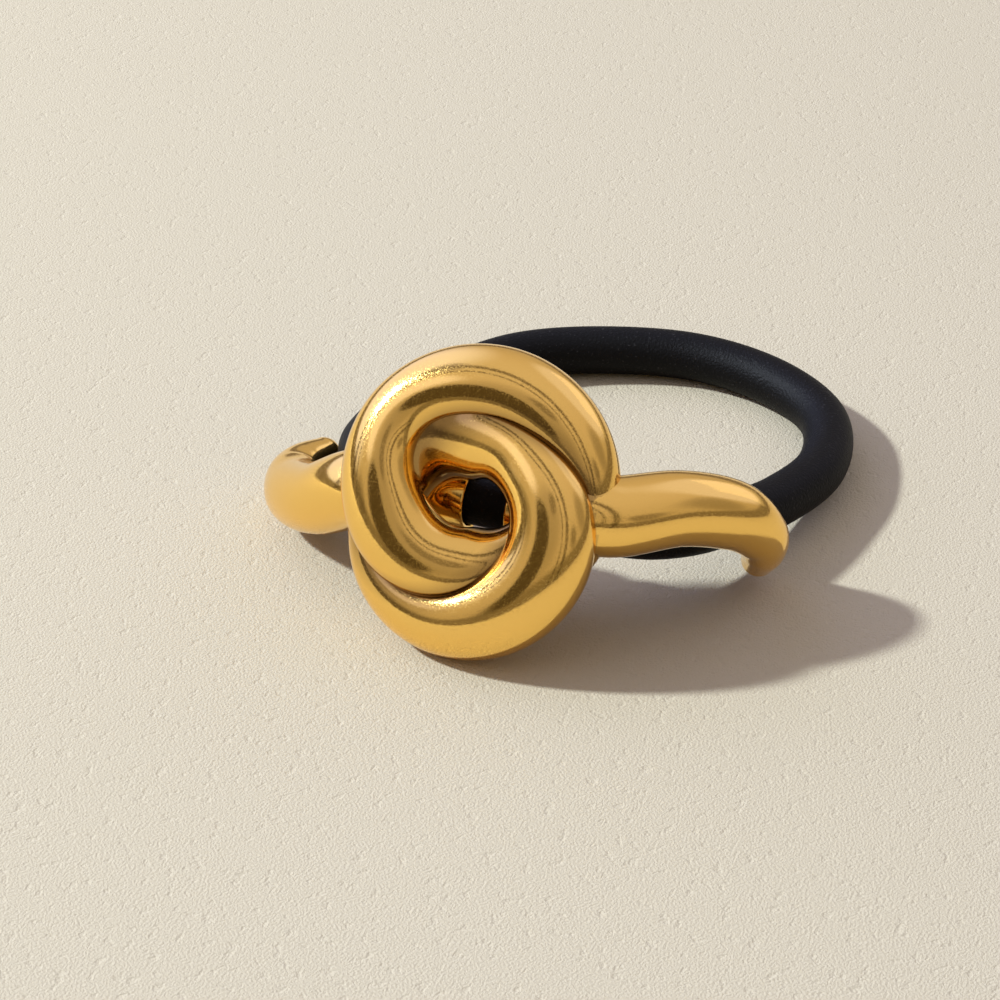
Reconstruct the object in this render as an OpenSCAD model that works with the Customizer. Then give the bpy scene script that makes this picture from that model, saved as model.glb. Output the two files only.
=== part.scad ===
// A hair tie: a cast knot with two tapering arms, and a thick elastic loop held in two sleeves
// on the knot's back. Millimetres, Z up, the knot facing -Y. The origin is on the surface that
// the cuff stands on, under the middle of the cuff's own box.

/* [Knot] */
// Radius of the knot's ring across, to the middle of the two strands
ring_across = 9.1; // [8.6:0.1:9.6]
// Radius of the knot's ring upwards, to the middle of the two strands
ring_up = 9.5; // [9:0.1:10]
// Distance from the middle of the two strands to the crown of a strand
strand_reach = 6.4; // [5.8:0.1:6.8]
// Share of that reach which is lost at the bottom of a crease
crease_depth = 0.42; // [0.36:0.02:0.6]
// How softly the strands fall into their creases: lower numbers make fuller strands, tighter creases
crease_softness = 0.75; // [0.5:0.05:0.9]
// Thickness of the knot front to back, as a share of the strands' reach
flattening = 0.85; // [0.75:0.05:1]

/* [Creases] */
// Degrees by which the second crease leads an even twist, upper right
lead_turn = 32; // [0:1:40]
// Where round the ring that lead is greatest
lead_at = 48; // [30:1:70]
// How far round the ring it fades
lead_spread = 46; // [30:1:60]
// Degrees by which the second crease lags behind an even twist, upper left
lag_turn = 31; // [0:1:40]
// Where round the ring that lag is greatest
lag_at = 142; // [130:1:160]
// How far round the ring it fades
lag_spread = 34; // [25:1:45]
// Further share of the reach that is lost in the second crease, left of the eye
valley_depth = 0.19; // [0:0.01:0.22]
// Where round the ring that valley is deepest
valley_at = 160; // [140:1:180]
// How far round the ring it fades
valley_spread = 40; // [30:1:50]
// How much more softly the inner strand rises out of the second crease, upper left
scoop_softness = 1.6; // [0:0.1:2]
// Where round the ring that scoop is softest
scoop_at = 150; // [140:1:170]
// How far round the ring it fades
scoop_spread = 45; // [30:1:60]

/* [Eye] */
// How far the metal reaches further into the eye from above
lip_above = 1; // [0:0.05:1.5]
// Where round the ring it reaches furthest from above
lip_above_at = 114; // [100:1:125]
// How far round the ring that fades
lip_above_spread = 52; // [30:1:60]
// How far the metal reaches further into the eye from below
lip_below = 0.65; // [0:0.05:1]
// Where round the ring it reaches furthest from below
lip_below_at = 285; // [275:1:300]
// How far round the ring that fades
lip_below_spread = 42; // [30:1:50]

/* [Stance] */
// How far the knot's face is tipped up from upright
lean = 32; // [28:0.5:36]
// Height of the knot's centre above the surface
knot_height = 14.05; // [13:0.05:15]
// Distance of the knot's centre in front of the origin
knot_forward = 4.6; // [3:0.1:6]

/* [Sleeves and elastic] */
// Diameter of the elastic
elastic_d = 5.5; // [5:0.1:6]
// Clearance round the elastic in a sleeve
sleeve_clearance = 0.15; // [0.1:0.05:0.2]
// Wall of a sleeve
sleeve_wall = 0.6; // [0.5:0.1:1]
// Distance of the sleeves' line behind the knot's middle plane
sleeve_back = 7.6; // [7.2:0.1:7.8]
// Where the right-hand sleeve starts, right of the middle: the elastic shows through the eye
right_sleeve_start = 1.8; // [1:0.1:3]
// Where the left-hand sleeve starts, left of the middle
left_sleeve_start = 2.7; // [1:0.1:3.5]
// Distance of a sleeve's outer end from the middle
sleeve_end = 8; // [7.5:0.1:8.5]
// How far out the elastic's channel runs along the backs of the arms' roots
channel_end = 13.5; // [13:0.1:14]
// Gap between the elastic's two ends, which meet inside a sleeve
elastic_joint = 0.3; // [0.2:0.1:0.5]

/* [Hidden] */

gold = [0.90, 0.68, 0.32];
black = [0.06, 0.06, 0.065];

// Fineness of the swept surfaces
ring_steps = 96;
strand_steps = 20;
arm_sides = 20;
arm_substeps = 4;
elastic_sides = 12;
elastic_substeps = 3;

// Course of an arm from inside the knot to its tip, for the arm on the right.
// The other arm is this one turned half a turn about the middle of the knot.
ARM_ACROSS = 0;
ARM_UP = 1;
ARM_BACK = 2;
ARM_RADIUS = 3;
ARM = [
  [ 9.0,  1.2,  1.0, 4.0],
  [13.6,  1.4,  2.8, 4.1],
  [19.0,  3.4,  6.9, 3.85],
  [23.3,  3.7, 11.5, 3.6],
  [25.6,  2.4, 15.0, 2.95],
  [25.8,  0.9, 17.6, 2.4],
  [24.9, -0.5, 20.4, 1.85]
];

// Course of the elastic outside the sleeves, from the right-hand sleeve round the back to the
// left-hand one: across, back and up, measured from the origin.
ELASTIC_ROUTE = [
  [ 10.5,   2.5,  9.5],
  [ 13.5,   4.5,  8.25],
  [ 16.0,   6.5,  7.5],
  [ 18.5,   9.5,  6.75],
  [ 20.5,  13.0,  6.1],
  [ 24.0,  21.0,  4.5],
  [ 26.0,  31.5,  3.25],
  [ 23.25, 41.5,  2.8],
  [ 15.5,  47.5,  2.8],
  [  5.5,  49.5,  2.8],
  [ -5.0,  47.0,  2.8],
  [-13.5,  42.0,  2.8],
  [-18.5,  34.0,  3.0],
  [-20.75, 24.5,  4.0],
  [-20.25, 15.0,  5.8],
  [-18.75, 10.0,  7.0],
  [-16.5,   7.0,  8.0],
  [-13.75,  4.75, 8.5],
  [-10.75,  2.75, 9.5]
];

sleeve_bore_d = elastic_d + 2 * sleeve_clearance;
sleeve_d = sleeve_bore_d + 2 * sleeve_wall;
// The elastic's ends meet in the middle of the right-hand sleeve
elastic_seam = (right_sleeve_start + sleeve_end) / 2;
// Length over which the elastic runs straight before it leaves a sleeve
elastic_lead = 2.6;
sleeve_y = sleeve_back * cos(lean) - knot_forward;
sleeve_z = knot_height - sleeve_back * sin(lean);

// A smooth hump of height 1 at the angle `at`, fading over `spread` degrees
function hump(angle, at, spread) =
  let (off = (angle - at + 540) % 360 - 180) exp(-pow(off / spread, 2));

// Where the two creases lie on the strands' section, for an angle round the ring
function first_crease(turn) = turn - 180;
function second_crease(turn) =
  turn + lead_turn * hump(turn, lead_at, lead_spread) - lag_turn * hump(turn, lag_at, lag_spread);

// How deep and how soft the strands' section is, `along` being 0 in its first crease and 180 in
// its second
function depth_at(turn, along) =
  crease_depth + valley_depth * hump(turn, valley_at, valley_spread) * (1 - cos(along)) / 2;
function softness_at(turn, along) =
  crease_softness + (along > 180 ? scoop_softness * hump(turn, scoop_at, scoop_spread) : 0);

// Distance from the section's middle to the metal
function section_reach(turn, along) =
  strand_reach * (1 - depth_at(turn, along) * (1 - pow(abs(sin(along)), softness_at(turn, along))));

// How much further the metal reaches towards the eye, which is at the section's angle 180
function lip_reach(turn, angle) =
  (lip_above * hump(turn, lip_above_at, lip_above_spread)
   + lip_below * hump(turn, lip_below_at, lip_below_spread)) * pow((1 - cos(angle)) / 2, 2);

// A point of the knot in its own frame: x across, y up, z out of its face
function knot_point(turn, along) =
  let (
    first = first_crease(turn),
    span = second_crease(turn) - first,
    angle = along < 180 ? first + span * along / 180
                        : first + span + (360 - span) * (along - 180) / 180,
    reach = section_reach(turn, along) + lip_reach(turn, angle),
    out = reach * cos(angle)
  )
  [(ring_across + out) * cos(turn), (ring_up + out) * sin(turn), flattening * reach * sin(angle)];

// A value between b and c on a smooth curve through a, b, c and d
function between(a, b, c, d, t) =
  0.5 * (2 * b + (c - a) * t + (2 * a - 5 * b + 4 * c - d) * t * t + (3 * b - a - 3 * c + d) * t * t * t);

// The points of a list joined by that curve, with `steps` pieces between neighbours
function smooth_course(list, steps) =
  let (
    last = len(list) - 1,
    before = 2 * list[0] - list[1],
    after = 2 * list[last] - list[last - 1],
    all = concat([before], list, [after])
  )
  concat(
    [for (i = [1 : last]) for (k = [0 : steps - 1])
      between(all[i - 1], all[i], all[i + 1], all[i + 2], k / steps)],
    [list[last]]
  );

function unit(v) = v / norm(v);
function level(v, along) = unit(v - along * (v * along));

// Direction of a path at each of its points
function directions(path) =
  [for (i = [0 : len(path) - 1])
    unit(path[min(i + 1, len(path) - 1)] - path[max(i - 1, 0)])];

// A side direction for each point, carried along so that the tube doesn't twist
function sides(dirs, i = 0, side = [0, 0, 1]) =
  i == len(dirs) ? [] :
  let (here = level(side, dirs[i])) concat([here], sides(dirs, i + 1, here));

// Faces of a tube of `rings` rings with `n` points each, its two ends closed
function tube_faces(rings, n) = concat(
  [[for (k = [0 : n - 1]) k]],
  [for (i = [0 : rings - 2]) for (k = [0 : n - 1])
    let (a = i * n + k, b = i * n + (k + 1) % n) each [[a, a + n, b], [b, a + n, b + n]]],
  [[for (k = [n - 1 : -1 : 0]) (rings - 1) * n + k]]
);

module tube(path, radii, n) {
  dirs = directions(path);
  side = sides(dirs);
  points = [for (i = [0 : len(path) - 1]) for (k = [0 : n - 1])
    let (a = 360 * k / n)
    path[i] + radii[i] * (cos(a) * side[i] + sin(a) * cross(dirs[i], side[i]))];
  polyhedron(points, tube_faces(len(path), n), convexity = 6);
}

// Both strands of the knot, a ring whose two-lobed section turns once on its way round
module strands() {
  n = 2 * strand_steps;
  points = [for (i = [0 : ring_steps - 1]) for (j = [0 : n - 1])
    knot_point(360 * i / ring_steps, 180 * j / strand_steps)];
  faces = [for (i = [0 : ring_steps - 1]) for (j = [0 : n - 1])
    let (
      i2 = (i + 1) % ring_steps,
      j2 = (j + 1) % n,
      a = i * n + j, b = i2 * n + j, c = i2 * n + j2, d = i * n + j2
    )
    each [[a, d, b], [b, d, c]]];
  polyhedron(points, faces, convexity = 8);
}

// A horn that leaves the knot's side and hooks back, with a rounded tip
module arm() {
  course = smooth_course(ARM, arm_substeps);
  last = course[len(course) - 1];
  before = course[len(course) - 2];
  end_dir = unit([for (k = [ARM_ACROSS : ARM_BACK]) last[k] - before[k]]);
  tip_steps = 3;
  tip = [for (k = [1 : tip_steps])
    let (a = 84 * k / tip_steps)
    concat([for (m = [ARM_ACROSS : ARM_BACK]) last[m] + end_dir[m] * last[ARM_RADIUS] * sin(a)],
           [last[ARM_RADIUS] * cos(a)])];
  rows = concat(course, tip);
  tube([for (r = rows) [r[ARM_ACROSS], r[ARM_UP], -r[ARM_BACK]]],
       [for (r = rows) r[ARM_RADIUS]], arm_sides);
}

// A round bar of diameter d along the line of the sleeves, from x = a to x = b
module along_sleeves(a, b, d) {
  translate([(a + b) / 2, 0, -sleeve_back])
    rotate([0, 90, 0]) cylinder(d = d, h = b - a, center = true, $fn = 48);
}

// Knot, arms and sleeves, cast and soldered into one piece
module knot_cuff() {
  color(gold)
    translate([0, -knot_forward, knot_height])
      rotate([90 - lean, 0, 0])
        difference() {
          union() {
            strands();
            arm();
            rotate([0, 0, 180]) arm();
            along_sleeves(right_sleeve_start, sleeve_end, sleeve_d);
            along_sleeves(-sleeve_end, -left_sleeve_start, sleeve_d);
          }
          along_sleeves(-channel_end, channel_end, sleeve_bore_d);
        }
}

// One length of elastic, from a seam inside a sleeve all the way round and back to it
module elastic_loop() {
  inside = function (x) [x, sleeve_y, sleeve_z];
  start = elastic_seam - elastic_joint / 2;
  finish = elastic_seam + elastic_joint / 2;
  route = concat(
    [inside(start), inside(0), inside(elastic_lead - sleeve_end), inside(-sleeve_end)],
    [for (i = [len(ELASTIC_ROUTE) - 1 : -1 : 0]) ELASTIC_ROUTE[i]],
    [inside(sleeve_end), inside(finish)]
  );
  path = smooth_course(route, elastic_substeps);
  color(black)
    tube(path, [for (p = path) elastic_d / 2], elastic_sides);
}

knot_cuff();
elastic_loop();
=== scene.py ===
# %% [markdown]
# # A knot cuff hair tie
#
# The object is one polished gold casting, a knot with two horns, and one thick black elastic that runs
# through two sleeves on the knot's back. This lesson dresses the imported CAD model: it loads the model as
# a fixed frame, works every visible surface out with numpy, and gives each the finish of the real thing.
# All lengths in the tables are millimetres, as they are on a maker's drawing, and `MM` turns them into
# Blender's metres in one place.

# %% The frame
import math

import bpy
import numpy as np
from mathutils.kdtree import KDTree
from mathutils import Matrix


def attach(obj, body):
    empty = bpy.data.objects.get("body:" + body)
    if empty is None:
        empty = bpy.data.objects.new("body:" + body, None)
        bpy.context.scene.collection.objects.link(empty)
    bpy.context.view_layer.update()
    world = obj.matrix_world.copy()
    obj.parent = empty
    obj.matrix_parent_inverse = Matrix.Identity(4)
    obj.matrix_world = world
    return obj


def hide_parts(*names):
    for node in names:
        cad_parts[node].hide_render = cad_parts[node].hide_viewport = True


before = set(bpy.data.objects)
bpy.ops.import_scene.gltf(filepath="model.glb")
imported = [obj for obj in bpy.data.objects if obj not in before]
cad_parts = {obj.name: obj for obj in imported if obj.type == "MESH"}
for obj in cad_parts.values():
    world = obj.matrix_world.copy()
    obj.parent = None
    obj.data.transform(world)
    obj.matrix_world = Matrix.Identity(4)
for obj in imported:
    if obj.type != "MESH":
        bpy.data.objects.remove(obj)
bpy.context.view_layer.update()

MM = 0.001

# %% [markdown]
# ## Where the knot stands
#
# The knot is drawn flat, with x across, y up and z out of its face. It leans back on its lower edge, so
# every point of the drawing is turned about the x axis and lifted into place. One function does that for
# the whole casting, and the same numbers place the camera.

# %% The knot's stance
LEAN = math.radians(32)
KNOT_HEIGHT = 14.05
KNOT_FORWARD = 4.6


def stand(drawing):
    """Drawing (x across, y up, z out) to the row frame: y and z turned by the lean about x, then moved.
    back = y sin(lean) - z cos(lean) - forward, height = y cos(lean) + z sin(lean) + knot height."""
    across, up, out = np.moveaxis(np.asarray(drawing, float), -1, 0)
    back = up * math.sin(LEAN) - out * math.cos(LEAN) - KNOT_FORWARD
    height = up * math.cos(LEAN) + out * math.sin(LEAN) + KNOT_HEIGHT
    return np.stack([across, back, height], axis=-1)


knot_centre = stand([0, 0, 0])
print("knot's centre, mm:", knot_centre.round(2))

# %% [markdown]
# ## The camera
#
# The photograph looks down at the knot from a little to its right, from close by. A lens of 108 mm at
# 300 mm gives ten pixels a millimetre at the knot, in a picture of 1000 pixels on a 36 mm sensor. The
# camera looks straight at the knot's centre, and a slight shift puts that centre where the photograph
# has it. Depth of field stays off, because other views use the same camera.

# %% Camera
VIEW_AZIMUTH = math.radians(22)
VIEW_ELEVATION = math.radians(33)
CAMERA_DISTANCE = 300
SENSOR = 36
LENS = 108
PICTURE_SIDE = 1000
CENTRE_PIXEL = (475, 502)


def make_camera():
    """A camera on a sphere round the knot's centre, aimed at it and shifted by the centre's pixel offset."""
    towards_camera = np.array([
        math.sin(VIEW_AZIMUTH) * math.cos(VIEW_ELEVATION),
        -math.cos(VIEW_AZIMUTH) * math.cos(VIEW_ELEVATION),
        math.sin(VIEW_ELEVATION),
    ])
    data = bpy.data.cameras.new("camera")
    data.sensor_width = SENSOR
    data.lens = LENS
    data.shift_x = (PICTURE_SIDE / 2 - CENTRE_PIXEL[0]) / PICTURE_SIDE
    data.shift_y = (CENTRE_PIXEL[1] - PICTURE_SIDE / 2) / PICTURE_SIDE
    data.clip_start = 10 * MM
    camera = bpy.data.objects.new("camera", data)
    bpy.context.scene.collection.objects.link(camera)
    camera.location = (knot_centre + CAMERA_DISTANCE * towards_camera) * MM
    camera.rotation_euler = (math.pi / 2 - VIEW_ELEVATION, 0, VIEW_AZIMUTH)
    bpy.context.scene.camera = camera
    return camera


camera = make_camera()
print("camera at, mm:", [round(v / MM, 1) for v in camera.location])

# %% [markdown]
# ## Surfaces from grids
#
# Every piece is a grid of points: rings along a path, with points round each ring. The grid is closed
# round the ring, and either closed along the path, as a doughnut is, or capped by a pole at each end.
# Numpy works the corners of all faces out at once. A closed surface encloses a volume, and its sign
# tells whether the faces look outwards, so one test turns a mesh that came out inside out.


# %% From a grid of points to a mesh
def grid_faces(rings, sides, ring_closed):
    """Quads between neighbours on a grid whose point (i, j) has the number i * sides + j."""
    i = np.arange(rings if ring_closed else rings - 1)[:, None]
    j = np.arange(sides)[None, :]
    i_next, j_next = (i + 1) % rings, (j + 1) % sides
    corners = [i * sides + j, i_next * sides + j, i_next * sides + j_next, i * sides + j_next]
    return np.stack(corners, axis=-1).reshape(-1, 4)


def pole_faces(ring_start, sides, pole):
    """Triangles from a ring's points, numbered from ring_start, to the pole point."""
    j = np.arange(sides)
    return np.stack([ring_start + j, ring_start + (j + 1) % sides, np.full(sides, pole)], axis=-1)


def signed_volume(points, triangles):
    """A sixth of the sum of a . (b x c) over triangles a, b, c: positive when faces look outwards."""
    a, b, c = (points[triangles[:, k]] for k in range(3))
    return float(np.einsum("ij,ij->i", a, np.cross(b, c)).sum() / 6)


def surface(name, grid, ring_closed=False):
    """A smooth closed mesh object from a grid (rings, sides, 3) in millimetres."""
    rings, sides = grid.shape[:2]
    points = grid.reshape(-1, 3)
    quads = grid_faces(rings, sides, ring_closed)
    triangles = np.vstack([quads[:, [0, 1, 2]], quads[:, [0, 2, 3]]])
    faces = quads.tolist()
    if not ring_closed:
        poles = np.stack([grid[0].mean(axis=0), grid[-1].mean(axis=0)])
        first = pole_faces(0, sides, len(points))[:, ::-1]
        last = pole_faces((rings - 1) * sides, sides, len(points) + 1)
        points = np.vstack([points, poles])
        triangles = np.vstack([triangles, first, last])
        faces += first.tolist() + last.tolist()
    if signed_volume(points, triangles) < 0:
        faces = [face[::-1] for face in faces]
    mesh = bpy.data.meshes.new(name)
    mesh.from_pydata((points * MM).tolist(), [], faces)
    mesh.polygons.foreach_set("use_smooth", np.ones(len(faces), dtype=bool))
    mesh.update()
    piece = bpy.data.objects.new(name, mesh)
    bpy.context.scene.collection.objects.link(piece)
    print(f"{name}: {len(mesh.vertices)} points, {len(mesh.polygons)} faces")
    return piece


# %% [markdown]
# ## Curves and tubes
#
# A course is a short table of given rows, and a smooth curve runs through all its rows. A tube
# puts a circle round each point of the curve, square to it. Both the elastic and the horns of the cuff
# are such tubes; the horns' circles shrink towards the tip.


# %% Smooth courses and tubes
def smooth_course(rows, steps):
    """Catmull-Rom curve through the rows: between b and c, with a before and d after, it is half of
    2b + (c - a)t + (2a - 5b + 4c - d)t^2 + (3b - a - 3c + d)t^3, for `steps` values of t."""
    rows = np.asarray(rows, float)
    longer = np.vstack([2 * rows[0] - rows[1], rows, 2 * rows[-1] - rows[-2]])
    a, b, c, d = (longer[k:len(rows) - 1 + k, None, :] for k in range(4))
    t = (np.arange(steps) / steps)[None, :, None]
    curve = (2 * b + (c - a) * t + (2 * a - 5 * b + 4 * c - d) * t**2 + (3 * b - a - 3 * c + d) * t**3) / 2
    return np.vstack([curve.reshape(-1, rows.shape[1]), rows[-1:]])


def unit(vectors):
    """Each vector over its own length."""
    return vectors / np.linalg.norm(vectors, axis=-1, keepdims=True)


def tube_grid(path, radii, sides, upright):
    """A circle round each point of the path: path + radius (cos a * side + sin a * top), where side is
    square to the path and to `upright`, and top is square to both."""
    along = unit(np.gradient(path, axis=0))
    side = unit(np.cross(along, upright))
    top = np.cross(side, along)
    angle = np.linspace(0, 2 * np.pi, sides, endpoint=False)[None, :, None]
    radii = np.broadcast_to(radii, len(path))[:, None, None]
    return path[:, None] + radii * (np.cos(angle) * side[:, None] + np.sin(angle) * top[:, None])


# %% [markdown]
# ## The elastic
#
# The elastic is the cord of this object, and it comes before the casting. It starts at the seam inside
# the right-hand sleeve, runs left through both sleeves, and goes round the back of the loop to the same
# seam. Its route repeats the CAD's points, so that it lies where its solid does. A real one has its two
# ends glued or crimped together; here a gap of 0.3 mm, which no one sees, keeps them apart.

# %% The elastic's route
ELASTIC_D = 5.5
SLEEVE_BACK = 7.6
SLEEVE_END = 8.0
RIGHT_SLEEVE_START = 1.8
LEFT_SLEEVE_START = 2.7
ELASTIC_JOINT = 0.3
ELASTIC_LEAD = 2.6
# across, back and up, from the right-hand sleeve round the loop to the left-hand one
ELASTIC_ROUTE = [
    (10.5, 2.5, 9.5),
    (13.5, 4.5, 8.25),
    (16.0, 6.5, 7.5),
    (18.5, 9.5, 6.75),
    (20.5, 13.0, 6.1),
    (24.0, 21.0, 4.5),
    (26.0, 31.5, 3.25),
    (23.25, 41.5, 2.8),
    (15.5, 47.5, 2.8),
    (5.5, 49.5, 2.8),
    (-5.0, 47.0, 2.8),
    (-13.5, 42.0, 2.8),
    (-18.5, 34.0, 3.0),
    (-20.75, 24.5, 4.0),
    (-20.25, 15.0, 5.8),
    (-18.75, 10.0, 7.0),
    (-16.5, 7.0, 8.0),
    (-13.75, 4.75, 8.5),
    (-10.75, 2.75, 9.5),
]
ELASTIC_STEPS = 24
ELASTIC_SIDES = 48


def elastic_path():
    """The centre line: straight along the sleeves from the seam, round the loop, and back to the seam.
    A point ELASTIC_LEAD before the left-hand end keeps it straight nearly to the sleeve's rim."""
    seam = (RIGHT_SLEEVE_START + SLEEVE_END) / 2
    inside = [seam - ELASTIC_JOINT / 2, 0, ELASTIC_LEAD - SLEEVE_END, -SLEEVE_END]
    back_inside = [SLEEVE_END, seam + ELASTIC_JOINT / 2]
    start = [tuple(stand([x, 0, -SLEEVE_BACK])) for x in inside]
    finish = [tuple(stand([x, 0, -SLEEVE_BACK])) for x in back_inside]
    return smooth_course(start + ELASTIC_ROUTE[::-1] + finish, ELASTIC_STEPS)


path = elastic_path()

# %% The elastic's surface
elastic = surface("elastic", tube_grid(path, ELASTIC_D / 2, ELASTIC_SIDES, (0, 0, 1)))

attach(elastic, "root")
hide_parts("elastic_loop")

# %% [markdown]
# ## The knot
#
# The real knot is two fat strands laid round each other, cast as one. Its section is a figure of two
# lobes that touch in two creases, and the section turns once on its way round the ring, so each crease
# winds from the outside over the face into the eye. The creases don't turn evenly: over the upper right
# the second one runs ahead, and over the upper left it falls behind, which makes the inner strand swell
# round the eye as it does in the photograph. Four humps along the turn shape the rest: a valley deepens
# the second crease at the upper left, a scoop hollows the strand beside it, and two lips push the strands
# into the eye, one above it and one below.
#
# The grid is laid out along the creases. Its second parameter is 0 in one crease and 180 in the other,
# so both creases are grid lines and stay crisp however coarse the grid is.

# %% The knot's strands
RING_ACROSS = 9.1
RING_UP = 9.5
STRAND_REACH = 6.4
CREASE_DEPTH = 0.42
CREASE_SOFTNESS = 0.75
FLATTENING = 0.85
# each hump's height, the turn it is at and its spread, both in degrees
LEAD = (32, 48, 46)
LAG = (31, 142, 34)
VALLEY = (0.19, 160, 40)
SCOOP = (1.6, 150, 45)
LIP_ABOVE = (1.0, 114, 52)
LIP_BELOW = (0.65, 285, 42)
WALL_ONSET = 20
KNOT_RINGS = 288
STRAND_SIDES = 56


def hump(angle, height, at, spread):
    """height * exp(-(distance from `at` in degrees / spread)^2)."""
    off = (angle - at + 540) % 360 - 180
    return height * np.exp(-(off / spread) ** 2)


def knot_grid():
    """For a turn round the ring and a place along the section, both in degrees:
    reach = strand reach * (1 - depth * (1 - |sin along|^softness)) + lip * ((1 - cos angle) / 2)^2, at an
    angle that runs evenly from the first crease to the second and on to the first. The valley adds to the
    depth, the scoop to the softness, and the lips are the humps that push into the eye. The point is the
    ring's point plus that reach, out across the ring and, flattened, out of its plane. The second result
    says how far down in a crease or in the eye each point is: the larger of 1 - |sin along|^softness and
    ((1 - cos angle) / 2)^WALL_ONSET."""
    turn = np.linspace(0, 360, KNOT_RINGS, endpoint=False)[:, None]
    along = np.linspace(0, 360, 2 * STRAND_SIDES, endpoint=False)[None, :]
    first = turn - 180
    second = turn + hump(turn, *LEAD) - hump(turn, *LAG)
    span = second - first
    angle = np.radians(np.where(
        along < 180,
        first + span * along / 180,
        first + span + (360 - span) * (along - 180) / 180,
    ))
    softness = CREASE_SOFTNESS + np.where(along > 180, hump(turn, *SCOOP), 0)
    fullness = np.abs(np.sin(np.radians(along))) ** softness
    depth = CREASE_DEPTH + hump(turn, *VALLEY) * (1 - np.cos(np.radians(along))) / 2
    lip = (hump(turn, *LIP_ABOVE) + hump(turn, *LIP_BELOW)) * ((1 - np.cos(angle)) / 2) ** 2
    reach = STRAND_REACH * (1 - depth * (1 - fullness)) + lip
    turn = np.radians(turn)
    points = np.stack([
        (RING_ACROSS + reach * np.cos(angle)) * np.cos(turn),
        (RING_UP + reach * np.cos(angle)) * np.sin(turn),
        FLATTENING * reach * np.sin(angle),
    ], axis=-1)
    return stand(points), np.maximum(1 - fullness, ((1 - np.cos(angle)) / 2) ** WALL_ONSET)


# the second grid is how deep each point lies in a crease or in the eye, which sets the painted shade there
knot_surface, knot_painted_shade = knot_grid()
strands = surface("strands", knot_surface, ring_closed=True)

# %% [markdown]
# ## The horns
#
# Each horn leaves the knot's side, swells back round the ponytail and hooks in to a small rounded tip.
# The table gives the right-hand horn. The left-hand one is the same, turned half a turn about the knot's
# middle, which is how a caster would draw a knot that looks alike from both ends.

# %% The horns
# across, up and back from the knot's centre, and the radius there
ARM = [
    (9.0, 1.2, 1.0, 4.0),
    (13.6, 1.4, 2.8, 4.1),
    (19.0, 3.4, 6.9, 3.85),
    (23.3, 3.7, 11.5, 3.6),
    (25.6, 2.4, 15.0, 2.95),
    (25.8, 0.9, 17.6, 2.4),
    (24.9, -0.5, 20.4, 1.85),
]
ARM_STEPS = 20
ARM_SIDES = 72
TIP_RINGS = 14
TIP_REACH = math.radians(88)


def arm_grid(half_turn):
    """A tube along the horn's course whose end is a half ball: past the last row by radius * sin(a),
    with the radius * cos(a)."""
    course = smooth_course(ARM, ARM_STEPS)
    last, end_way = course[-1], unit(course[-1, :3] - course[-2, :3])
    a = np.linspace(0, TIP_REACH, TIP_RINGS + 1)[1:, None]
    tip = np.hstack([last[:3] + end_way * last[3] * np.sin(a), last[3] * np.cos(a)])
    course = np.vstack([course, tip])
    middle = course[:, :3] * (1, 1, -1)
    grid = tube_grid(middle, course[:, 3], ARM_SIDES, (0, 1, 0))
    return grid * (-1, -1, 1) if half_turn else grid


arms = [surface(f"arm_{side}", stand(arm_grid(side == "left"))) for side in ("left", "right")]

# %% [markdown]
# ## The sleeves
#
# Two short tubes are soldered across the knot's back, and the elastic runs through them. One of them
# shows through the eye as a round golden rim against the black. Its wall is a ring-shaped profile with
# softened corners, carried once round the line of the elastic.

# %% The sleeves
SLEEVE_CLEARANCE = 0.15
SLEEVE_WALL = 0.6
RIM_SOFTNESS = 0.22
SLEEVE_SIDES = 96
CORNER_POINTS = 6


def sleeve_grid(start, end):
    """The wall's profile is a rectangle, start to end by inner to outer radius, whose corners are quarter
    circles; each profile point (x, r) goes round the sleeve's line as (x, r cos a, r sin a)."""
    inner = ELASTIC_D / 2 + SLEEVE_CLEARANCE
    outer = inner + SLEEVE_WALL
    corners = [(end, outer, 0), (start, outer, 90), (start, inner, 180), (end, inner, 270)]
    x, r, turn = (np.repeat(column, CORNER_POINTS) for column in zip(*corners))
    bend = np.radians(turn + np.tile(np.linspace(0, 90, CORNER_POINTS), len(corners)))
    inwards_x = np.where(x == end, -1, 1)
    inwards_r = np.where(r == outer, -1, 1)
    x = x + RIM_SOFTNESS * (inwards_x + np.cos(bend))
    r = r + RIM_SOFTNESS * (inwards_r + np.sin(bend))
    a = np.linspace(0, 2 * np.pi, SLEEVE_SIDES, endpoint=False)[:, None]
    return np.stack([x + 0 * a, r * np.cos(a), r * np.sin(a) - SLEEVE_BACK], axis=-1)


sleeves = [
    surface("sleeve_right", stand(sleeve_grid(RIGHT_SLEEVE_START, SLEEVE_END)), ring_closed=True),
    surface("sleeve_left", stand(sleeve_grid(-SLEEVE_END, -LEFT_SLEEVE_START)), ring_closed=True),
]

# %% [markdown]
# ## One casting
#
# On the real cuff the strands, horns and sleeves are one piece of metal. A Boolean modifier joins them,
# so no surface is left inside another, and cuts the channel in which the elastic leaves the sleeves.
# The result is taken from the modifier once, and the parts it was made of are deleted.

# %% Joining the casting
CHANNEL_END = 13.5
CHANNEL_SPARE = 0.05
SHARP_ANGLE = math.radians(38)


def channel():
    """A round bar along the sleeves' line, a little wider than the sleeves' own bore."""
    radius = ELASTIC_D / 2 + SLEEVE_CLEARANCE + CHANNEL_SPARE
    line = np.array([[x, 0, -SLEEVE_BACK] for x in np.linspace(-CHANNEL_END, CHANNEL_END, 40)])
    return surface("channel", stand(tube_grid(line, radius, SLEEVE_SIDES, (0, 1, 0))))


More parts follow.
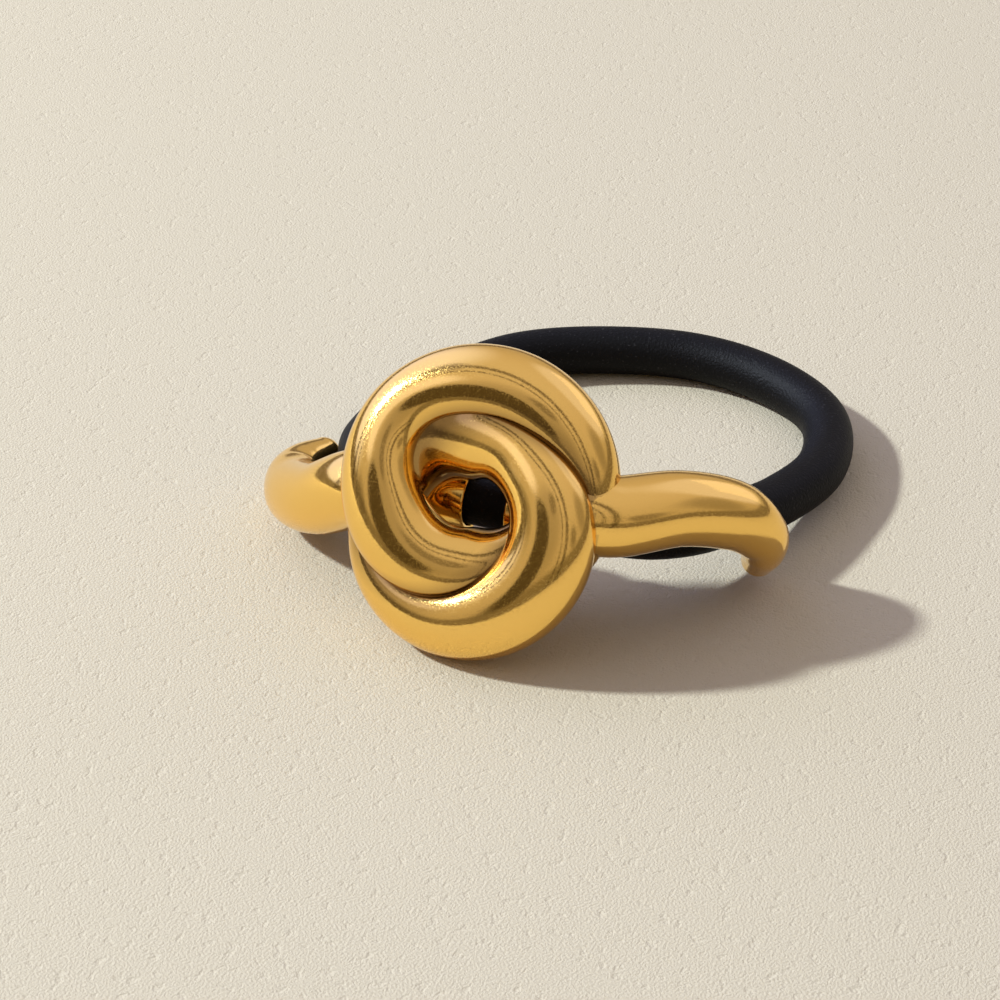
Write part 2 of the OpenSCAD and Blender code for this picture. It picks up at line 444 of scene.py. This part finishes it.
def combine(target, tool, operation):
    """target becomes target and tool joined or cut, and tool is deleted. A join that loses points has
    failed, which is said at once."""
    change = target.modifiers.new("combine", "BOOLEAN")
    change.operation = operation
    change.solver = "EXACT"
    change.object = tool
    bpy.context.view_layer.update()
    result = bpy.data.meshes.new_from_object(target.evaluated_get(bpy.context.evaluated_depsgraph_get()))
    if operation == "UNION" and len(result.vertices) < len(target.data.vertices):
        raise ValueError(f"{tool.name} wasn't joined")
    target.modifiers.clear()
    target.data = result
    print(f"{operation.lower()} with {tool.name}: {len(result.vertices)} points")
    bpy.data.objects.remove(tool)


cuff = strands
cuff.name = "cuff"
for arm in arms:
    combine(cuff, arm, "UNION")
combine(cuff, channel(), "DIFFERENCE")
for sleeve in sleeves:
    combine(cuff, sleeve, "UNION")
cuff.data.polygons.foreach_set("use_smooth", np.ones(len(cuff.data.polygons), dtype=bool))
cuff.data.set_sharp_from_angle(angle=SHARP_ANGLE)
print(f"cuff: {len(cuff.data.vertices)} points, {len(cuff.data.polygons)} faces")

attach(cuff, "root")
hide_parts("knot_cuff")

# %% [markdown]
# ## Painted shade in the creases
#
# The creases and the wall of the eye get a painted shade: a duller, browner gold, mixed in where a point
# lies deep, stands in for the shade that falls there. The joined casting has new points, so each one looks
# up the nearest point of the knot's own grid and takes its painted shade; the horns and sleeves take none.

# %% Painted shade of each point
SAME_SURFACE = 0.25


def mark_painted_shade(piece):
    """Stores the painted shade, 0 to 1, for each point of the piece, from the nearest point of the knot's
    grid, or 0 where that point is more than SAME_SURFACE away."""
    known = knot_surface.reshape(-1, 3)
    tree = KDTree(len(known))
    for number, point in enumerate(known):
        tree.insert(point, number)
    tree.balance()
    painted_shade = knot_painted_shade.ravel()
    values = []
    for vertex in piece.data.vertices:
        _, number, distance = tree.find(vertex.co / MM)
        values.append(painted_shade[number] if distance < SAME_SURFACE else 0.0)
    piece.data.attributes.new("painted_shade", "FLOAT", "POINT").data.foreach_set("value", values)
    print(f"recess: {np.mean(np.array(values) > 0.5):.0%} of the points lie deep in the knot")


# the gold reads this painted shade to darken the creases and the wall of the eye
mark_painted_shade(cuff)

# %% [markdown]
# ## Materials
#
# Colours are written as the sRGB hex values that a picture shows, and one function turns them into the
# linear values that the renderer works with. One more function adds a shader node with its settings and
# its links, so that each material reads as a short list.

# %% Colour and node helpers
def linear(hex_colour):
    """sRGB to linear: c / 12.92 below 0.04045, else ((c + 0.055) / 1.055)^2.4, with alpha 1."""
    c = np.array([int(hex_colour[k:k + 2], 16) for k in (1, 3, 5)]) / 255
    c = np.where(c <= 0.04045, c / 12.92, ((c + 0.055) / 1.055) ** 2.4)
    return (*c.tolist(), 1.0)


def node(tree, kind, settings=None, **inputs):
    """Adds a node of that kind. settings are its properties; inputs are values or output sockets,
    named as its sockets are, with _ for a space and a number for sockets that share a name."""
    made = tree.nodes.new(kind)
    for name, value in (settings or {}).items():
        setattr(made, name, value)
    for name, value in inputs.items():
        number = name.lstrip("_")
        socket = made.inputs[int(number)] if number.isdigit() else made.inputs[name.replace("_", " ")]
        if isinstance(value, bpy.types.NodeSocket):
            tree.links.new(value, socket)
        else:
            socket.default_value = value
    return made


def new_material(name):
    """An empty node material with its output, ready for a shader."""
    material = bpy.data.materials.new(name)
    material.use_nodes = True
    material.node_tree.nodes.clear()
    return material, material.node_tree, material.node_tree.nodes.new("ShaderNodeOutputMaterial")


def dress(piece, material):
    """Gives the piece that one material."""
    piece.data.materials.clear()
    piece.data.materials.append(material)
    print(f"{piece.name} wears {material.name}")


# %% [markdown]
# ### Gold plating
#
# The casting is zinc under a thin layer of gold, buffed to a mirror. Bare metal needs only a colour and a
# roughness, with no paint under it and no coat over it. No polish is even, so a noise of an eighth of a
# millimetre scatters rougher specks over it. They spread the light of the lamp a little, which gives the
# sandy shimmer of the photograph. The painted shade that each point carries mixes in a darker, browner gold.

# %% Gold plating
GRAINS_PER_MM = 8
# the painted shade at which the gold begins to darken, and the one at which it is darkest
PAINTED_SHADE_RANGE = (0.5, 0.95)


def polished_gold_plating():
    """Gold plating on a zinc casting, buffed to a mirror. A fine grain of rougher specks stays in it, which
    shows as a sandy shimmer round the highlights. In the creases and the wall of the eye a painted shade
    mixes in a duller, darker and browner gold."""
    material, tree, output = new_material("polished_gold_plating")
    place = node(tree, "ShaderNodeTexCoord").outputs["Object"]
    # painted shade: where a point lies deep in a crease or in the eye, the colour is mixed towards a duller,
    # browner gold
    painted_shade = node(tree, "ShaderNodeAttribute", {"attribute_name": "painted_shade"}).outputs["Fac"]
    painted_darkening = node(tree, "ShaderNodeMapRange", Value=painted_shade, From_Min=PAINTED_SHADE_RANGE[0], From_Max=PAINTED_SHADE_RANGE[1])
    colour = node(tree, "ShaderNodeMix", {"data_type": "RGBA"}, _0=painted_darkening.outputs["Result"],
                  _6=linear("#FFD070"), _7=linear("#A5834E")).outputs[2]
    grain = node(tree, "ShaderNodeTexNoise", Vector=place, Scale=GRAINS_PER_MM / MM, Detail=1.0,
                 Roughness=0.5)
    rough = node(tree, "ShaderNodeMapRange", Value=grain.outputs["Fac"], From_Min=0.5, From_Max=0.67,
                 To_Min=0.07, To_Max=0.26)
    bump = node(tree, "ShaderNodeBump", Height=grain.outputs["Fac"], Strength=0.05, Distance=0.05 * MM)
    shader = node(tree, "ShaderNodeBsdfPrincipled", Base_Color=colour, Metallic=1.0,
                  Roughness=rough.outputs["Result"], Normal=bump.outputs["Normal"])
    tree.links.new(shader.outputs[0], output.inputs["Surface"])
    return material


dress(cuff, polished_gold_plating())

# %% [markdown]
# ### Black elastic
#
# The cover is a tube of fine polyester knit over strands of rubber. From arm's length no stitch shows, only
# a matt black with a soft gleam along its top. One noise of about a quarter of a millimetre serves twice:
# its peaks are specks of lint, and its slopes tilt the surface a little.

# %% Black elastic
LINT_PER_MM = 3.5


def black_elastic_cover():
    """A fine knitted polyester cover over rubber: near black and matt, with specks of paler lint."""
    material, tree, output = new_material("black_elastic_cover")
    place = node(tree, "ShaderNodeTexCoord").outputs["Object"]
    fuzz = node(tree, "ShaderNodeTexNoise", Vector=place, Scale=LINT_PER_MM / MM, Detail=4.0)
    lint = node(tree, "ShaderNodeMapRange", Value=fuzz.outputs["Fac"], From_Min=0.62, From_Max=0.72)
    colour = node(tree, "ShaderNodeMix", {"data_type": "RGBA"}, _0=lint.outputs["Result"],
                  _6=linear("#060505"), _7=linear("#2D2B2B")).outputs[2]
    bump = node(tree, "ShaderNodeBump", Height=fuzz.outputs["Fac"], Strength=0.5, Distance=0.2 * MM)
    shader = node(tree, "ShaderNodeBsdfPrincipled", Base_Color=colour, Roughness=0.55,
                  Specular_IOR_Level=0.13, Normal=bump.outputs["Normal"])
    tree.links.new(shader.outputs[0], output.inputs["Surface"])
    return material


dress(elastic, black_elastic_cover())

# %% [markdown]
# ## Floor, light and surroundings
#
# A mirror finish has no colour of its own to show: it shows the room, tinted gold. So the room counts as
# much as the metal. The floor is plain plaster, made from two noises, one for the grit and one for the
# pits. One small hard lamp at the left is the key light. It gives the sparkle on the rims and the long
# shadow, and a broad faint card fills in from behind.
#
# The room itself is a background that depends on direction only: a dark skirting, a bright ceiling, three
# bright windows, and dark shapes where the camera and its stand would be. The rings round the dark corner
# become the brown bands that run along each strand, as they do on any polished knot beside a window.
# Photographed surroundings would need an image file, and real walls would cast shadows on the floor.

# %% Floor
FLOOR_SIDE = 3000
GRIT_PER_MM = 3.8
PITS_PER_MM = 0.8
GRIT_SHARE = 2.0


def pale_plaster():
    """A trowelled plaster slab: pale and matt, with fine grit and shallow pits where air bubbles burst."""
    material, tree, output = new_material("pale_plaster")
    place = node(tree, "ShaderNodeTexCoord").outputs["Object"]
    grit = node(tree, "ShaderNodeTexNoise", Vector=place, Scale=GRIT_PER_MM / MM, Detail=3.0, Roughness=0.5)
    dents = node(tree, "ShaderNodeTexNoise", Vector=place, Scale=PITS_PER_MM / MM, Detail=3.0, Roughness=0.5)
    pits = node(tree, "ShaderNodeMapRange", {"interpolation_type": "SMOOTHSTEP"}, Value=dents.outputs["Fac"],
                From_Min=0.31, From_Max=0.43)
    height = node(tree, "ShaderNodeMath", {"operation": "MULTIPLY_ADD"}, _0=grit.outputs["Fac"],
                  _1=GRIT_SHARE, _2=pits.outputs["Result"])
    bump = node(tree, "ShaderNodeBump", Height=height.outputs[0], Strength=0.32, Distance=0.5 * MM)
    shader = node(tree, "ShaderNodeBsdfPrincipled", Base_Color=linear("#C2B79D"), Roughness=0.9,
                  Specular_IOR_Level=0.2, Normal=bump.outputs["Normal"])
    tree.links.new(shader.outputs[0], output.inputs["Surface"])
    return material


def make_floor():
    """One square of plaster, far larger than the view, with its top at height 0."""
    corners = np.array([(-1, -1, 0), (1, -1, 0), (1, 1, 0), (-1, 1, 0)], float) * FLOOR_SIDE / 2 * MM
    mesh = bpy.data.meshes.new("floor")
    mesh.from_pydata(corners.tolist(), [], [(0, 1, 2, 3)])
    floor = bpy.data.objects.new("floor", mesh)
    bpy.context.scene.collection.objects.link(floor)
    dress(floor, pale_plaster())


make_floor()


# %% Lights
def direction(azimuth, elevation):
    """Unit vector at an azimuth, 0 along +X and 90 along +Y, and an elevation, both in degrees."""
    azimuth, elevation = math.radians(azimuth), math.radians(elevation)
    level = math.cos(elevation)
    return np.array([level * math.cos(azimuth), level * math.sin(azimuth), math.sin(elevation)])


def area_light(name, azimuth, elevation, distance, size, power, colour):
    """A square light aimed at the knot's centre from that direction and distance."""
    data = bpy.data.lights.new(name, "AREA")
    data.size = size * MM
    data.energy = power
    data.color = linear(colour)[:3]
    light = bpy.data.objects.new(name, data)
    bpy.context.scene.collection.objects.link(light)
    light.location = (knot_centre + distance * direction(azimuth, elevation)) * MM
    light.rotation_euler = (math.radians(90 - elevation), 0, math.radians(azimuth + 90))
    print(f"{name}: {size} mm square, {distance} mm away, {power} W")


area_light("key", azimuth=-167, elevation=38.5, distance=1720, size=110, power=47.5, colour="#E6F1FC")
area_light("side_card", azimuth=62, elevation=22, distance=900, size=520, power=0.2, colour="#FFF8EE")

# %% Surroundings
# the height of a direction, 0 level and 1 straight up, and the colour there
SKY_BY_HEIGHT = [
    (0.0, (0.2, 0.17, 0.14, 1)),
    (0.17, (0.22, 0.19, 0.16, 1)),
    (0.22, (0.5, 0.44, 0.39, 1)),
    (0.45, (0.55, 0.49, 0.45, 1)),
    (0.8, (0.63, 0.57, 0.58, 1)),
    (1.0, (0.67, 0.62, 0.66, 1)),
]
# where it is, the degrees from there that are fully bright, the degrees to its edge, and its colour
BRIGHT_PATCHES = [
    (direction(165, 25), 22, 50, (1.0, 1.06, 1.8, 1)),
    (direction(55, 38), 21, 30, (0.8, 0.78, 1.08, 1)),
    (direction(-133, 41), 5, 13, (1.0, 0.98, 1.4, 1)),
]
DARK_CORNER = direction(-106, 23)
# the degrees from the dark corner to a ring's two edges, and the ring's depth
DARK_RINGS = [(42, 46, 1.0), (51, 59, 0.8)]
RING_EDGE = 2
# where it is, the degrees from there that are fully dark, the degrees to its edge, and its depth
DARK_PATCHES = [
    (DARK_CORNER, 13, 17, 1.0),
    (direction(-138, 8), 4, 12, 0.5),
    (direction(-168, 56), 3, 12, 0.6),
    (direction(-28, 20), 4, 10, 0.6),
    (direction(-82, 46), 4, 10, 0.7),
    (direction(-88, 34), 8, 28, 0.35),
    (direction(6, 26), 5, 20, 0.45),
]
SHADE = (0.08, 0.062, 0.045, 1)
# the heights between which the windows begin, above the skirting
SKIRTING = (0.15, 0.2)


def studio_world():
    """What the metal mirrors: a dark skirting along the floor, a warm wall and a paler ceiling above it, a
    bright window at the left and smaller ones behind and in front, all cut off at the skirting, and a
    dark corner with two dark rings round it, where the camera stands. It depends on direction only."""
    world = bpy.data.worlds.new("studio")
    world.use_nodes = True
    tree = world.node_tree
    way = node(tree, "ShaderNodeTexCoord").outputs["Generated"]
    height = node(tree, "ShaderNodeSeparateXYZ", Vector=way).outputs["Z"]
    sky = node(tree, "ShaderNodeValToRGB", Fac=height)
    stops = sky.color_ramp.elements
    for number, (place, shade) in enumerate(SKY_BY_HEIGHT):
        stop = stops[number] if number < 2 else stops.new(place)
        stop.position = place
        stop.color = shade

    def near(aim, inner, outer):
        """1 within `inner` degrees of the aim, 0 beyond `outer`, smooth between."""
        along = node(tree, "ShaderNodeVectorMath", {"operation": "DOT_PRODUCT"}, _0=way, _1=tuple(aim))
        return node(tree, "ShaderNodeMapRange", {"interpolation_type": "SMOOTHSTEP"},
                    Value=along.outputs["Value"], From_Min=math.cos(math.radians(outer)),
                    From_Max=math.cos(math.radians(inner)), To_Min=0.0, To_Max=1.0).outputs["Result"]

    colour = sky.outputs["Color"]
    above_skirting = node(tree, "ShaderNodeMapRange", Value=height, From_Min=SKIRTING[0],
                          From_Max=SKIRTING[1])
    for aim, inner, outer, bright in BRIGHT_PATCHES:
        wall = node(tree, "ShaderNodeMath", {"operation": "MULTIPLY"}, _0=near(aim, inner, outer),
                    _1=above_skirting.outputs["Result"])
        colour = node(tree, "ShaderNodeMix", {"data_type": "RGBA"}, _0=wall.outputs[0],
                      _6=colour, _7=bright).outputs[2]
    shades = []
    for aim, inner, outer, depth in DARK_PATCHES:
        patch = node(tree, "ShaderNodeMath", {"operation": "MULTIPLY"}, _0=near(aim, inner, outer), _1=depth)
        shades.append(patch.outputs[0])
    for inner, outer, depth in DARK_RINGS:
        ring = node(tree, "ShaderNodeMath", {"operation": "SUBTRACT"},
                    _0=near(DARK_CORNER, outer - RING_EDGE, outer),
                    _1=near(DARK_CORNER, inner, inner + RING_EDGE))
        faint = node(tree, "ShaderNodeMath", {"operation": "MULTIPLY"}, _0=ring.outputs[0], _1=depth)
        shades.append(faint.outputs[0])
    shade = shades[0]
    for other in shades[1:]:
        shade = node(tree, "ShaderNodeMath", {"operation": "MAXIMUM"}, _0=shade, _1=other).outputs[0]
    dark = node(tree, "ShaderNodeMix", {"data_type": "RGBA"}, _0=shade, _6=colour, _7=SHADE)
    tree.links.new(dark.outputs[2], tree.nodes["Background"].inputs["Color"])
    return world


bpy.context.scene.world = studio_world()
# the picture shows the hex colours as they are, with no film curve laid over them
bpy.context.scene.view_settings.view_transform = "Standard"
print(f"room: {len(BRIGHT_PATCHES)} windows, {len(DARK_PATCHES)} dark shapes, {len(DARK_RINGS)} dark rings")
